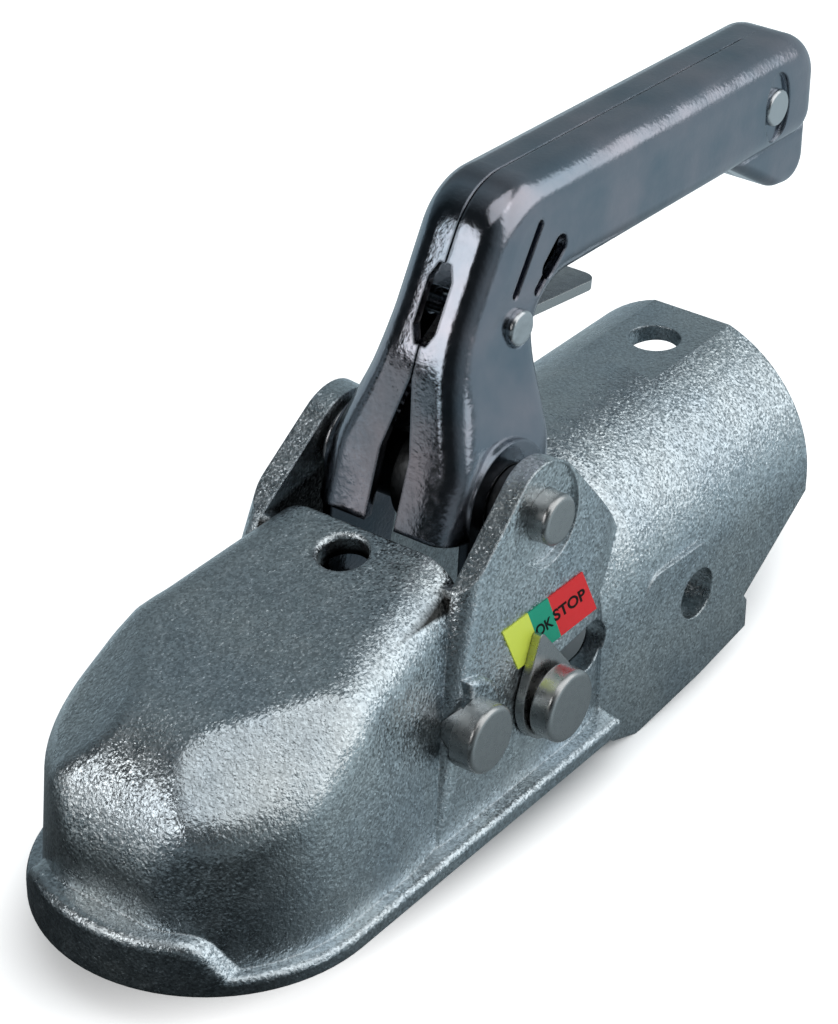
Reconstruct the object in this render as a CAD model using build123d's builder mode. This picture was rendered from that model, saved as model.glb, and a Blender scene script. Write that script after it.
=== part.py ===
from build123d import *
from math import atan2, cos, degrees, hypot, radians, sin, tan
import os

# Trailer coupling head: a forged housing over a tow ball, a hand lever with a trigger,
# and the slide pin and jaw that lock the ball in.
# Frame: millimetres, +X to the nose, +Y to the side with the indicator, +Z up,
# origin at the centre of the seated tow ball.

os.makedirs("parts", exist_ok=True)

# Driving dimensions: what the head fits
ball_r = 25.0
ball_clearance = 0.7
drawbar_r = 30.0
drawbar_z = 8.0
drawbar_bolt_r = 6.5
drawbar_stop_x = -112.0

# Driving dimensions: housing
sheet = 5.5
rim_z = -17.5
head_base_half = 37.0
head_draft = 4.2
head_rear_x = -62.0
pocket_draft = 3.6
wall_base_half = 36.3
wall_draft = 5.0
wall_depth = 16.5
wall_rear_x = -126.0
rear_x = -185.0
plateau_z = 33.9
plateau_slope = 10.1
nose_edge_x = 9.0
nose_r = 30.0
plateau_edge_r = 11.0
facet_x = -5.0
facet_y = 21.7
facet_turn = 44.4
facet_tilt = 36.2
facet_edge_r = 8.0
relief_narrowing = 0.146
relief_lean = 0.1235
relief_round = 30.0
flange_width = 3.2
flange_thick = 4.0
flange_rear_x = -97.0
flange_run_out = 10.0
flange_round = 1.6
chin_height = 13.0
chin_half_top = 22.0
chin_half_low = 30.0
chin_round = 2.4
chin_corner_r = 7.0
crease_low_x = -28.5
crease_top = (-41.5, 19.0)
crease_round = 4.5
ear_r = 12.8
ear_foot = (-49.5, 40.5)
ear_heel = (-106.0, 32.0)
heel_front_x = -89.0
heel_low_z = 8.0
heel_rear_half = 23.0
heel_round = 30.0
opening_front_x = -53.5
opening_rear_x = -100.0
top_hole_x = -45.5
top_hole_r = 5.6
top_hole_round = 1.4
saddle_hole_x = -168.0
saddle_pad_front_x = -150.0
saddle_pad_drop = 1.7
cheek_hole_x = -134.0
cheek_pad_proud = 1.2
cheek_pad_round = 6.0
cheek_pad_top_z = 13.5
cheek_pad_front_x = -112.5
cheek_pad_rear_x = -137.0
tail_notch = (-157.5, -14.0)
tail_shoulder_z = 3.6
tail_foot_rear_z = -21.5
tail_foot_front = (-111.5, -28.3)
tail_toe = (-103.0, -26.0)
spot_r = 12.0
spot_depth = 0.2
boss_r = 12.0
boss_round = 1.6
boss_setback = 3.5

# Driving dimensions: pivots and slot
lever_pin_x = -78.2
lever_pin_z = 46.5
lever_pin_r = 6.0
lever_pin_proud = 5.0
jaw_pin_x = -45.0
jaw_pin_z = 10.0
jaw_pin_r = 6.0
jaw_head_r = 8.0
jaw_head_proud = 6.0
jaw_end_proud = 3.0
slide_pin_x = -71.6
slide_pin_z = 4.8
slide_pin_r = 5.0
slide_head_r = 8.6
slide_head_thick = 5.6
slide_end_r = 8.0
slide_end_thick = 3.6
slot_clearance = 0.5
slot_spare = 1.0
lever_angle = 28.0
pin_round = 1.3
washer_round = 0.5
fit = 0.05
running_clearance = 0.1
side_clearance = 0.4
washer_thick = 1.5
washer_r = 9.4
sleeve_r = 8.5

# Driving dimensions: lever
shell_wall = 2.5
seam_gap = 0.5
grip_half = 12.0
base_half = 20.0
shell_edge_r = 7.0
base_flare_r = 25.0
neck_flare_r = 45.0
base_front_x = -58.0
base_rear_x = -97.0
base_low_z = 42.4
base_knee_z = 55.0
neck_z = 76.8
neck_front = (-71.7, 80.0)
neck_bend_r = 60.0
grip_corner_x = -90.5
grip_top_z = 112.2
grip_low_z = 84.7
grip_fall = 1.7
grip_rear_x = -219.0
grip_corner_r = 18.0
grip_crook_x = -102.0
crook_r = 12.0
grip_end_r = 11.0
grip_tail_r = 8.0
knob_half = 9.5
knob_front_x = -182.0
knob_chin = (-206.0, 69.8)
knob_chin_r = 10.0
knob_heel_r = 7.0
knob_low_z = 67.8
knob_round = 3.5
rivet_x = -199.0
rivet_z = 94.7
rivet_r = 3.0
rivet_head_r = 4.6
rivet_head_thick = 1.6
rivet_bed_depth = 1.2
rivet_bed_half = (5.5, 9.0)
arm_top_r = 14.0
arm_low_r = 10.0
bush_wall = 2.6
front_gap_half = 4.0
front_gap_z = 58.0
front_gap_apex_z = 74.0
front_window_half = 3.1
front_window_low_z = 80.8
front_window_top_z = 96.8
side_slot_ends = ((-99.9, 102.4), (-91.1, 89.1))
side_slot_width = 2.4
keyhole_ends = ((-107.8, 94.4), (-103.6, 90.6), (-99.4, 86.8))
keyhole_widths = (5.4, 2.6)

# Driving dimensions: trigger, catch and springs
trigger_x = -91.8
trigger_z = 81.0
trigger_pin_r = 3.0
trigger_head_r = 4.2
trigger_head_thick = 1.8
trigger_web = 7.0
trigger_hub_r = 6.0
trigger_nose = (-88.8, 57.1)
trigger_nose_r = 2.2
trigger_arm_r = 4.0
trigger_lug_x = -74.2
trigger_lug_z = 73.0
trigger_lug_thick = 3.5
tongue_half = 9.0
tongue_thick = 2.4
tongue_front_x = -96.0
tongue_rear_x = -128.0
tongue_z = 79.0
tongue_fall = 7.0
tongue_corner_r = 4.0
tongue_window = (72.5, 84.0)
catch_r = 12.0
catch_half = 3.0
spring_x = -76.2
spring_mean_r = 3.2
spring_wire_r = 0.65
spring_turns = 4
seat_thick = 1.6
seat_front_x = -71.6
seat_rear_x = -83.0
wound_wire_r = 0.8
wound_pitch = 1.85
wound_turns = 1
catch_notch_r = 2.6

# Driving dimensions: jaw and locking block
jaw_half = 20.0
jaw_hub_r = 11.5
jaw_toe = (-18.5, -17.0)
jaw_heel = (-31.0, -18.0)
jaw_tail_x = -60.7
jaw_tail_half = 9.0
jaw_tail_top_z = 8.5
jaw_tail_low_z = 0.5
block_nose_x = -57.7
block_gap = 1.0
block_half = 11.0
block_top_z = 17.5
block_hub_r = 9.5

# Driving dimensions: indicator
label_thick = 0.3
label_low_z = 15.1
label_top_z = 27.0
label_rear_x = -89.9
label_front_x = -59.4
label_lean = 0.41
pointer_r = 9.6
pointer_tip = (-70.7, 20.3)
pointer_tip_r = 1.0
pointer_thick = 2.2

# Sizes that follow from the driving dimensions
far = 400.0
saddle_r = drawbar_r + sheet
flange_r = head_base_half + flange_width
slope = radians(plateau_slope)
wall_lean = radians(wall_draft)
relief_edge_y = head_base_half + rim_z * tan(radians(head_draft))
relief_edge_x = crease_low_x + (relief_edge_y - wall_base_half - relief_lean * rim_z) / relief_narrowing
slot_r = slide_pin_r + slot_clearance
arm_reach = hypot(slide_pin_x - lever_pin_x, slide_pin_z - lever_pin_z)
arm_rest = atan2(slide_pin_z - lever_pin_z, slide_pin_x - lever_pin_x)
slide_travel = 2 * arm_reach * sin(radians(lever_angle / 2))
arm_sagitta = arm_reach * (1 - cos(radians(lever_angle / 2)))
slot_angle = degrees(arm_rest) - lever_angle / 2 - 90
slot_mid_x = slide_pin_x + slide_travel / 2 * cos(radians(slot_angle))
slot_mid_z = slide_pin_z + slide_travel / 2 * sin(radians(slot_angle))
fork_mid_r = arm_reach - arm_sagitta / 2
bush_r = lever_pin_r + running_clearance + bush_wall
front_lean = (base_front_x - neck_front[0]) / (neck_front[1] - base_low_z)
grip_drop = tan(radians(grip_fall))


def wall_y(z):
    """Outer face of the side wall at a height: it leans in by its draft."""
    return wall_base_half - (z - rim_z) * tan(wall_lean)


def base_side_y(z):
    """Outer side of the lever's base at a height: upright, then drawn in to the neck."""
    drawn_in = max(z - base_knee_z, 0) / (neck_z - base_knee_z)
    return base_half - (base_half - grip_half) * drawn_in


def base_front(z):
    """Front of the lever's base and neck at a height."""
    return neck_front[0] + (neck_front[1] - z) * front_lean


def base_rear(z):
    """Rear of the lever's base and neck at a height."""
    return base_rear_x + (grip_crook_x - base_rear_x) * (z - base_low_z) / (grip_low_z - base_low_z)


def grip_top(x):
    return grip_top_z - grip_drop * (grip_corner_x - x)


def grip_low(x):
    return grip_low_z - grip_drop * (grip_crook_x - x)


spot_y = wall_y(lever_pin_z + spot_r) - spot_depth
boss_y = wall_y(jaw_pin_z - boss_r)
lever_pin_end_y = spot_y + lever_pin_proud
ear_inner_y = wall_y(lever_pin_z + sleeve_r) - sheet
pocket_half = ball_r + ball_clearance
pocket_side_y = pocket_half - (jaw_pin_z + sleeve_r) * tan(radians(pocket_draft))
lever_sleeve_y = base_half + side_clearance
jaw_sleeve_y = jaw_half + side_clearance
pointer_face_y = wall_y(slide_pin_z - slide_head_r) + side_clearance + pointer_thick
slide_washer_y = wall_y(slide_pin_z - washer_r) + side_clearance
slide_end_y = slide_washer_y + washer_thick
block_low_z = jaw_tail_top_z + block_gap
seat_top_z = lever_pin_z + catch_r + side_clearance + seat_thick
seat_half = base_side_y(seat_top_z) - shell_wall - fit
spring_pitch = (trigger_lug_z - seat_top_z - 2 * spring_wire_r - fit) / spring_turns
nose_angle = atan2(trigger_nose[1] - lever_pin_z, trigger_nose[0] - lever_pin_x)
catch_notch = (lever_pin_x + catch_r * cos(nose_angle), lever_pin_z + catch_r * sin(nose_angle))
tongue_slant = radians(tongue_fall)
tongue_length = (tongue_front_x - tongue_rear_x) / cos(tongue_slant)
tongue_plane = Plane(origin=(tongue_front_x, 0, tongue_z),
                     x_dir=(-cos(tongue_slant), 0, -sin(tongue_slant)),
                     z_dir=(-sin(tongue_slant), 0, cos(tongue_slant)))
label_run = label_lean * (label_top_z - label_low_z)


def slot_mid_and_end(start, end):
    """Centre of a slot and the centre of one of its round ends."""
    return ((start[0] + end[0]) / 2, (start[1] + end[1]) / 2), end


def turned_plane(x, z):
    """Plane for a profile of (distance along +Y, radius) about the line through x and z."""
    return Plane(origin=(x, 0, z), x_dir=(0, 1, 0), z_dir=(0, 0, 1))


def turned_axis(x, z):
    return Axis((x, 0, z), (0, 1, 0))


def side_plane(y):
    """Upright plane at a given y, with +X to the right and +Z up in the sketch."""
    return Plane.XZ.offset(-y)


def wall_plane():
    """Plane of the left wall's outer face, +X to the right and up the wall in the sketch."""
    return Plane(origin=(0, wall_y(0), 0), x_dir=(1, 0, 0), z_dir=(0, -cos(wall_lean), -sin(wall_lean)))


def plateau_axis(x):
    """Line square to the sloped plateau, through a point above the middle line."""
    return Axis((x, 0, plateau_z - tan(slope) * x), (sin(slope), 0, cos(slope)))


def plateau_section(x):
    """Plane for a profile of (radius, height above the plateau) about that line."""
    return Plane(origin=(x, 0, plateau_z - tan(slope) * x), x_dir=(0, 1, 0),
                 z_dir=(cos(slope), 0, -sin(slope)))


def relief_plane():
    """Plane that narrows the head's left flank to the rear and upwards, from the crease's foot."""
    return Plane(origin=(crease_low_x, wall_base_half, rim_z), x_dir=(1, relief_narrowing, 0),
                 z_dir=(-relief_narrowing, 1, relief_lean))


def facet_plane(side):
    """Plane of the facet at one front corner of the plateau, its first direction downhill."""
    turn = radians(side * facet_turn)
    tilt = radians(facet_tilt)
    return Plane(origin=(facet_x, side * facet_y, plateau_z - tan(slope) * facet_x),
                 x_dir=(cos(tilt) * cos(turn), cos(tilt) * sin(turn), -sin(tilt)),
                 z_dir=(sin(tilt) * cos(turn), sin(tilt) * sin(turn), cos(tilt)))


def head_form(base_half_width, draft, inset, relieved):
    """Nose, facets and plateau over a drafted stadium, with nose and top moved in by the inset."""
    edge_z = plateau_z - tan(slope) * nose_edge_x
    centre = (nose_edge_x - nose_r * sin(slope), edge_z - nose_r * cos(slope))
    radius = nose_r - inset
    top = (centre[0] + radius * sin(slope), centre[1] + radius * cos(slope))
    rear_top = top[1] + tan(slope) * (top[0] - head_rear_x)
    with BuildPart() as form:
        with BuildSketch(Plane.XY.offset(rim_z)):
            with BuildLine():
                Line((head_rear_x, -base_half_width), (0, -base_half_width))
                ThreePointArc((0, -base_half_width), (base_half_width, 0), (0, base_half_width))
                Polyline((0, base_half_width), (head_rear_x, base_half_width),
                         (head_rear_x, -base_half_width))
            make_face()
        extrude(amount=rear_top - rim_z + sheet, taper=draft)
        with BuildSketch(Plane.XZ):
            with BuildLine():
                nose = CenterArc(centre, radius, 0, 90 - plateau_slope)
                Polyline(nose @ 1, (head_rear_x, rear_top), (head_rear_x, rim_z),
                         (centre[0] + radius, rim_z), nose @ 0)
            make_face()
        extrude(amount=far, both=True, mode=Mode.INTERSECT)
        if relieved:
            with BuildSketch(relief_plane()):
                Rectangle(far, far)
            flank = extrude(amount=far, mode=Mode.SUBTRACT)
            mirror(flank, about=Plane.XZ, mode=Mode.SUBTRACT)
            left_edge = form.edges().sort_by_distance((relief_edge_x, relief_edge_y, 0))[0]
            right_edge = form.edges().sort_by_distance((relief_edge_x, -relief_edge_y, 0))[0]
            fillet([left_edge, right_edge], relief_round)
        for side in (1, -1):
            plane = facet_plane(side).offset(-inset)
            with BuildSketch(plane):
                Rectangle(far, far)
            extrude(amount=far, mode=Mode.SUBTRACT)
            facet = form.faces().sort_by_distance(plane.from_local_coords((sheet, 0, 0)))[0]
            fillet(facet.edges().sort_by(lambda e: abs(e.center().Y))[:2], facet_edge_r)
        corner = (head_rear_x / 2, base_half_width, rear_top)
        left_flank = form.edges().sort_by_distance(corner)[0]
        right_flank = form.edges().sort_by_distance((corner[0], -corner[1], corner[2]))[0]
        fillet([left_flank, right_flank], plateau_edge_r - inset)
    return form.part


def flange_form():
    """Flange along the rim, its upper edge rounded, run out to the wall behind."""
    with BuildPart() as form:
        with BuildSketch(Plane.XY.offset(rim_z)):
            with BuildLine():
                ThreePointArc((0, -flange_r), (flange_r, 0), (0, flange_r))
                Polyline((0, flange_r), (flange_rear_x, flange_r), (flange_rear_x - flange_run_out, 0),
                         (flange_rear_x, -flange_r), (0, -flange_r))
            make_face()
        extrude(amount=flange_thick)
        fillet(form.edges().group_by(Axis.Z)[-1], flange_round)
    return form.part


def chin_form():
    """Thickened front of the rim, which narrows upwards."""
    with BuildPart() as form:
        with BuildSketch(Plane.XY.offset(rim_z)):
            Circle(flange_r)
        extrude(amount=chin_height)
        with BuildSketch(Plane.YZ):
            with BuildLine():
                FilletPolyline((-chin_half_low, rim_z), (-chin_half_top, rim_z + chin_height),
                               (chin_half_top, rim_z + chin_height), (chin_half_low, rim_z),
                               radius=chin_corner_r)
                Line((chin_half_low, rim_z), (-chin_half_low, rim_z))
            make_face()
        extrude(amount=flange_r, mode=Mode.INTERSECT)
        front = form.faces().sort_by(Axis.X)[-1].edges()
        fillet(front.filter_by(lambda e: e.bounding_box().max.Z > rim_z + fit), chin_round)
    return form.part


def wall_form():
    """Left side wall and ear, leaning in by its draft, its rear run out into the saddle."""
    with BuildPart() as form:
        with BuildSketch(wall_plane()):
            Polygon((crease_low_x, rim_z), crease_top, ear_foot, ear_heel, (wall_rear_x, heel_low_z),
                    (wall_rear_x, rim_z), align=None)
        extrude(amount=wall_depth)
        with BuildSketch(wall_plane()):
            with BuildLine():
                CenterArc((lever_pin_x, lever_pin_z), ear_r, 0, 360)
                Line(ear_foot, ear_heel)
            make_hull()
        extrude(amount=sheet)
        with BuildSketch(Plane.XY.offset(rim_z - sheet)):
            Polygon((heel_front_x, wall_base_half), (wall_rear_x, heel_rear_half), (wall_rear_x, far),
                    (heel_front_x, far), align=None)
        extrude(amount=far, mode=Mode.SUBTRACT)
        with BuildSketch(Plane.XY.offset(rim_z)):
            Rectangle(far, far)
        extrude(amount=-far, mode=Mode.SUBTRACT)
        crease_mid = wall_plane().from_local_coords(
            ((crease_top[0] + ear_foot[0]) / 2, (crease_top[1] + ear_foot[1]) / 2, 0))
        fillet(form.edges().sort_by_distance(crease_mid)[0], crease_round)
        heel_mid = (heel_front_x - sheet, wall_y(0) - sheet * tan(wall_lean), 0)
        fillet(form.edges().sort_by_distance(heel_mid)[0], heel_round)
    return form.part


def boss_form():
    """Upright pad for the jaw pin's head, which ends at the crease."""
    with BuildPart() as form:
        with BuildSketch(side_plane(boss_y)):
            with Locations((jaw_pin_x, jaw_pin_z)):
                Circle(boss_r)
            Polygon((crease_low_x - boss_setback, rim_z), (crease_top[0] - boss_setback, crease_top[1]),
                    (crease_top[0] - boss_setback, far), (-far, far), (-far, rim_z),
                    align=None, mode=Mode.INTERSECT)
        extrude(amount=sheet)
        fillet(form.edges().group_by(Axis.Y)[-1], boss_round)
    return form.part


def pad_form():
    """Flat pad round the left cheek's bolt hole, which rises from the cheek towards the rear."""
    with BuildPart() as form:
        with BuildSketch(Plane.XY.offset(tail_foot_front[1])):
            Polygon((cheek_pad_front_x, saddle_r), (cheek_pad_rear_x, saddle_r + cheek_pad_proud),
                    (tail_notch[0], saddle_r + cheek_pad_proud), (tail_notch[0], saddle_r - sheet / 2),
                    (cheek_pad_front_x, saddle_r - sheet / 2), align=None)
        extrude(amount=cheek_pad_top_z - tail_foot_front[1])
        with BuildSketch(Plane.XZ):
            with BuildLine():
                FilletPolyline((cheek_pad_front_x, tail_foot_front[1]),
                               (cheek_pad_front_x, cheek_pad_top_z),
                               (cheek_pad_rear_x, cheek_pad_top_z), tail_notch,
                               (tail_notch[0], tail_foot_rear_z),
                               radius=(cheek_pad_round, cheek_pad_round, 0))
                Line((tail_notch[0], tail_foot_rear_z), (cheek_pad_front_x, tail_foot_front[1]))
            make_face()
        extrude(amount=far, both=True, mode=Mode.INTERSECT)
    return form.part


def cavity_form():
    """Space between the side walls, open upwards for the lever."""
    with BuildPart() as form:
        with BuildSketch(Plane.XY.offset(rim_z)):
            with BuildLine():
                Polyline((opening_rear_x, rim_half_inner), (opening_front_x, rim_half_inner),
                         (opening_front_x, -rim_half_inner), (opening_rear_x, -rim_half_inner), close=True)
            make_face()
        with BuildSketch(Plane.XY.offset(cavity_top_z)):
            with BuildLine():
                Polyline((opening_rear_x, top_half_inner), (opening_front_x, top_half_inner),
                         (opening_front_x, -top_half_inner), (opening_rear_x, -top_half_inner), close=True)
            make_face()
        loft()
    return form.part


def tail_form(inset):
    """Rear saddle: half round over the drawbar, with straight cheeks below its axis."""
    front_half = wall_y(drawbar_z) - inset
    half = saddle_r - inset
    outline = [(flange_rear_x, front_half), (drawbar_stop_x, half), (rear_x - inset, half)]
    with BuildPart() as form:
        with BuildSketch(Plane.XY.offset(drawbar_z)):
            Polygon(*outline, (rear_x - inset, 0), (flange_rear_x, 0), align=None)
        revolve(axis=Axis((0, 0, drawbar_z), (1, 0, 0)), revolution_arc=180)
        with BuildSketch(Plane.XY.offset(drawbar_z)):
            Polygon(*outline, *[(x, -y) for x, y in reversed(outline)], align=None)
        extrude(amount=tail_foot_front[1] - inset - drawbar_z)
    return form.part


rim_half_inner = wall_y(rim_z) - sheet
cavity_top_z = lever_pin_z + 2 * ear_r
top_half_inner = wall_y(cavity_top_z) - sheet
pocket_base_half = pocket_half - rim_z * tan(radians(pocket_draft))
left_wall = wall_form()
left_boss = boss_form()
left_pad = pad_form()

# Housing: one forged piece, open below, with ears for the lever and a saddle for the drawbar
with BuildPart() as housing:
    add(tail_form(0))
    with BuildSketch(Plane.XZ):
        Polygon((rear_x, far), (rear_x, tail_shoulder_z), tail_notch, (tail_notch[0], tail_foot_rear_z),
                tail_foot_front, tail_toe, (flange_rear_x, rim_z), (flange_rear_x, far), align=None)
    extrude(amount=far, both=True, mode=Mode.INTERSECT)
    add(head_form(head_base_half, head_draft, 0, True))
    add(left_wall)
    add(left_wall.mirror(Plane.XZ))
    add(flange_form())
    add(chin_form())
    add(left_pad)
    add(left_pad.mirror(Plane.XZ))
    add(left_boss)
    add(left_boss.mirror(Plane.XZ))
    add(head_form(pocket_base_half, pocket_draft, sheet, False), mode=Mode.SUBTRACT)
    add(cavity_form(), mode=Mode.SUBTRACT)
    add(tail_form(sheet), mode=Mode.SUBTRACT)
    for side in (1, -1):
        with BuildSketch(side_plane(side * spot_y)):
            with Locations((lever_pin_x, lever_pin_z)):
                Circle(spot_r)
        extrude(amount=-side * sheet, mode=Mode.SUBTRACT)
    with BuildSketch(Plane.XZ):
        with Locations((lever_pin_x, lever_pin_z)):
            Circle(lever_pin_r + fit)
        with Locations((jaw_pin_x, jaw_pin_z)):
            Circle(jaw_pin_r + fit)
        with Locations(Pos(slot_mid_x, slot_mid_z) * Rot(0, 0, slot_angle)):
            SlotCenterToCenter(slide_travel + 2 * slot_spare, 2 * slot_r)
        with Locations((cheek_hole_x, 0)):
            Circle(drawbar_bolt_r)
    extrude(amount=far, both=True, mode=Mode.SUBTRACT)
    with BuildSketch(Plane.XY.offset(drawbar_z + saddle_r - saddle_pad_drop)):
        with Locations(((saddle_pad_front_x + rear_x - sheet) / 2, 0)):
            Rectangle(saddle_pad_front_x - rear_x + sheet, 2 * saddle_r)
    extrude(amount=sheet, mode=Mode.SUBTRACT)
    with BuildSketch(Plane.XY.offset(drawbar_z)):
        with Locations((saddle_hole_x, 0)):
            Circle(drawbar_bolt_r)
    extrude(amount=far, mode=Mode.SUBTRACT)
    with BuildSketch(plateau_section(top_hole_x)):
        with BuildLine():
            rim_arc = CenterArc((top_hole_r + top_hole_round, -top_hole_round), top_hole_round, 90, 90)
            Polyline(rim_arc @ 1, (top_hole_r, -2 * sheet), (0, -2 * sheet), (0, sheet),
                     (top_hole_r + top_hole_round, sheet), rim_arc @ 0)
        make_face()
    revolve(axis=plateau_axis(top_hole_x), mode=Mode.SUBTRACT)
housing.part.label = "housing"
export_step(housing.part, "parts/housing.step")


def pin_profile(low_end, high_end, radius):
    """Half profile of a plain pin between two places along +Y, with rounded ends."""
    FilletPolyline((low_end, 0), (low_end, radius), (high_end, radius), (high_end, 0), radius=pin_round)
    Line((high_end, 0), (low_end, 0))


# Lever pivot pin: plain, with both ends standing out of the ears
with BuildPart() as lever_pivot_pin:
    with BuildSketch(turned_plane(lever_pin_x, lever_pin_z)):
        with BuildLine():
            pin_profile(-lever_pin_end_y, lever_pin_end_y, lever_pin_r)
        make_face()
    revolve(axis=turned_axis(lever_pin_x, lever_pin_z))
lever_pivot_pin.part.label = "lever_pivot_pin"
export_step(lever_pivot_pin.part, "parts/lever_pivot_pin.step")

# Jaw pivot pin: domed-edge head on the indicator side, plain end on the other
with BuildPart() as jaw_pivot_pin:
    with BuildSketch(turned_plane(jaw_pin_x, jaw_pin_z)):
        with BuildLine():
            pin_profile(-boss_y - washer_thick - jaw_end_proud, boss_y + jaw_head_proud, jaw_pin_r)
        make_face()
        with BuildLine():
            FilletPolyline((boss_y, 0), (boss_y, jaw_head_r), (boss_y + jaw_head_proud, jaw_head_r),
                           (boss_y + jaw_head_proud, 0), radius=(0, pin_round))
            Line((boss_y + jaw_head_proud, 0), (boss_y, 0))
        make_face()
    revolve(axis=turned_axis(jaw_pin_x, jaw_pin_z))
jaw_pivot_pin.part.label = "jaw_pivot_pin"
export_step(jaw_pivot_pin.part, "parts/jaw_pivot_pin.step")

# Push-on ring that holds the jaw pin's plain end
with BuildPart() as jaw_pin_ring:
    with BuildSketch(side_plane(-boss_y)):
        with Locations((jaw_pin_x, jaw_pin_z)):
            Circle(washer_r)
            Circle(jaw_pin_r + fit, mode=Mode.SUBTRACT)
    extrude(amount=washer_thick)
    fillet(jaw_pin_ring.edges().group_by(Axis.Y)[0].sort_by(SortBy.RADIUS)[-1], washer_round)
jaw_pin_ring.part.label = "jaw_pin_ring"
export_step(jaw_pin_ring.part, "parts/jaw_pin_ring.step")

# Slide pin: large head over the pointer, riveted end on the other side
with BuildPart() as slide_pin:
    with BuildSketch(turned_plane(slide_pin_x, slide_pin_z)):
        with BuildLine():
            FilletPolyline((pointer_face_y, 0), (pointer_face_y, slide_head_r),
                           (pointer_face_y + slide_head_thick, slide_head_r),
                           (pointer_face_y + slide_head_thick, 0), radius=(washer_round, pin_round))
            Line((pointer_face_y + slide_head_thick, 0), (pointer_face_y, 0))
        make_face()
        Polygon((-slide_end_y, 0), (-slide_end_y, slide_pin_r), (pointer_face_y, slide_pin_r),
                (pointer_face_y, 0), align=None)
        with BuildLine():
            FilletPolyline((-slide_end_y, 0), (-slide_end_y, slide_end_r),
                           (-slide_end_y - slide_end_thick, slide_end_r),
                           (-slide_end_y - slide_end_thick, 0), radius=(0, pin_round))
            Line((-slide_end_y - slide_end_thick, 0), (-slide_end_y, 0))
        make_face()
    revolve(axis=turned_axis(slide_pin_x, slide_pin_z))
slide_pin.part.label = "slide_pin"
export_step(slide_pin.part, "parts/slide_pin.step")

# Washer under the slide pin's riveted end
with BuildPart() as slide_end_washer:
    with BuildSketch(side_plane(-slide_washer_y)):
        with Locations((slide_pin_x, slide_pin_z)):
            Circle(washer_r)
            Circle(slide_pin_r + fit, mode=Mode.SUBTRACT)
    extrude(amount=washer_thick)
slide_end_washer.part.label = "slide_end_washer"
export_step(slide_end_washer.part, "parts/slide_end_washer.step")

# Indicator pointer: drop-shaped plate that leans with the wall and shows against the label
with BuildPart() as indicator_pointer:
    with BuildSketch(wall_plane().offset(-side_clearance)):
        with BuildLine():
            CenterArc((slide_pin_x, slide_pin_z), pointer_r, 0, 360)
            CenterArc(pointer_tip, pointer_tip_r, 0, 360)
        make_hull()
    extrude(amount=-pointer_thick)
    with BuildSketch(Plane.XZ):
        with Locations((slide_pin_x, slide_pin_z)):
            Circle(slide_pin_r + fit)
    extrude(amount=-far, mode=Mode.SUBTRACT)
indicator_pointer.part.label = "indicator_pointer"
export_step(indicator_pointer.part, "parts/indicator_pointer.step")

# Indicator label: thin sticker on the wall above the slot, its ends leaning
with BuildPart() as indicator_label:
    with BuildSketch(wall_plane()):
        Polygon((label_rear_x, label_top_z), (label_front_x, label_top_z),
                (label_front_x - label_run, label_low_z), (label_rear_x - label_run, label_low_z),
                align=None)
    extrude(amount=-label_thick)
indicator_label.part.label = "indicator_label"
export_step(indicator_label.part, "parts/indicator_label.step")


def lever_form(inset):
    """Outer or inner form of the lever's left half, from the grip's end to the flared base."""
    low = base_low_z - 2 * inset
    corner = (grip_corner_x, grip_top(grip_corner_x))
    with BuildPart() as form:
        with BuildSketch(Plane.XZ):
            with BuildLine():
                FilletPolyline((base_front(low), low), neck_front, corner,
                               (grip_rear_x, grip_top(grip_rear_x)),
                               (grip_rear_x, grip_low(grip_rear_x)), (grip_crook_x, grip_low_z),
                               (base_rear(low), low), close=True,
                               radius=(0, neck_bend_r, grip_corner_r, grip_end_r, grip_tail_r, crook_r, 0))
            make_face()
            offset(amount=-inset, kind=Kind.INTERSECTION, mode=Mode.REPLACE)
        extrude(amount=-base_half)
        with BuildSketch(Plane.YZ):
            with BuildLine():
                FilletPolyline((0, far), (grip_half - inset, far), (grip_half - inset, neck_z),
                               (base_half - inset, base_knee_z), (base_half - inset, low - sheet),
                               (0, low - sheet), close=True,
                               radius=(0, 0, neck_flare_r, base_flare_r, 0, 0))
            make_face()
        extrude(amount=far, both=True, mode=Mode.INTERSECT)
        outer = form.edges().filter_by(lambda e: e.bounding_box().min.Y > seam_gap)
        fillet(outer.filter_by(Axis.X, reverse=True), shell_edge_r - inset)
    return form.part


def knob_form():
    """Left half of the lobe under the grip's end, which falls to the rear."""
    with BuildPart() as form:
        with BuildSketch(Plane.XZ):
            with BuildLine():
                FilletPolyline((knob_front_x, grip_low_z), knob_chin, (grip_rear_x, knob_low_z),
                               (grip_rear_x, grip_low_z), radius=(knob_chin_r, knob_heel_r))
                Line((grip_rear_x, grip_low_z), (knob_front_x, grip_low_z))
            make_face()
        extrude(amount=-knob_half)
        fillet(form.edges().group_by(Axis.Y)[-1], knob_round)
    return form.part


def arm_direction(distance):
    """Point on the line from the lever pin to the slide pin."""
    return (lever_pin_x + distance * cos(arm_rest), lever_pin_z + distance * sin(arm_rest))


shell_outer = lever_form(0)
shell_inner = lever_form(shell_wall)

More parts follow.
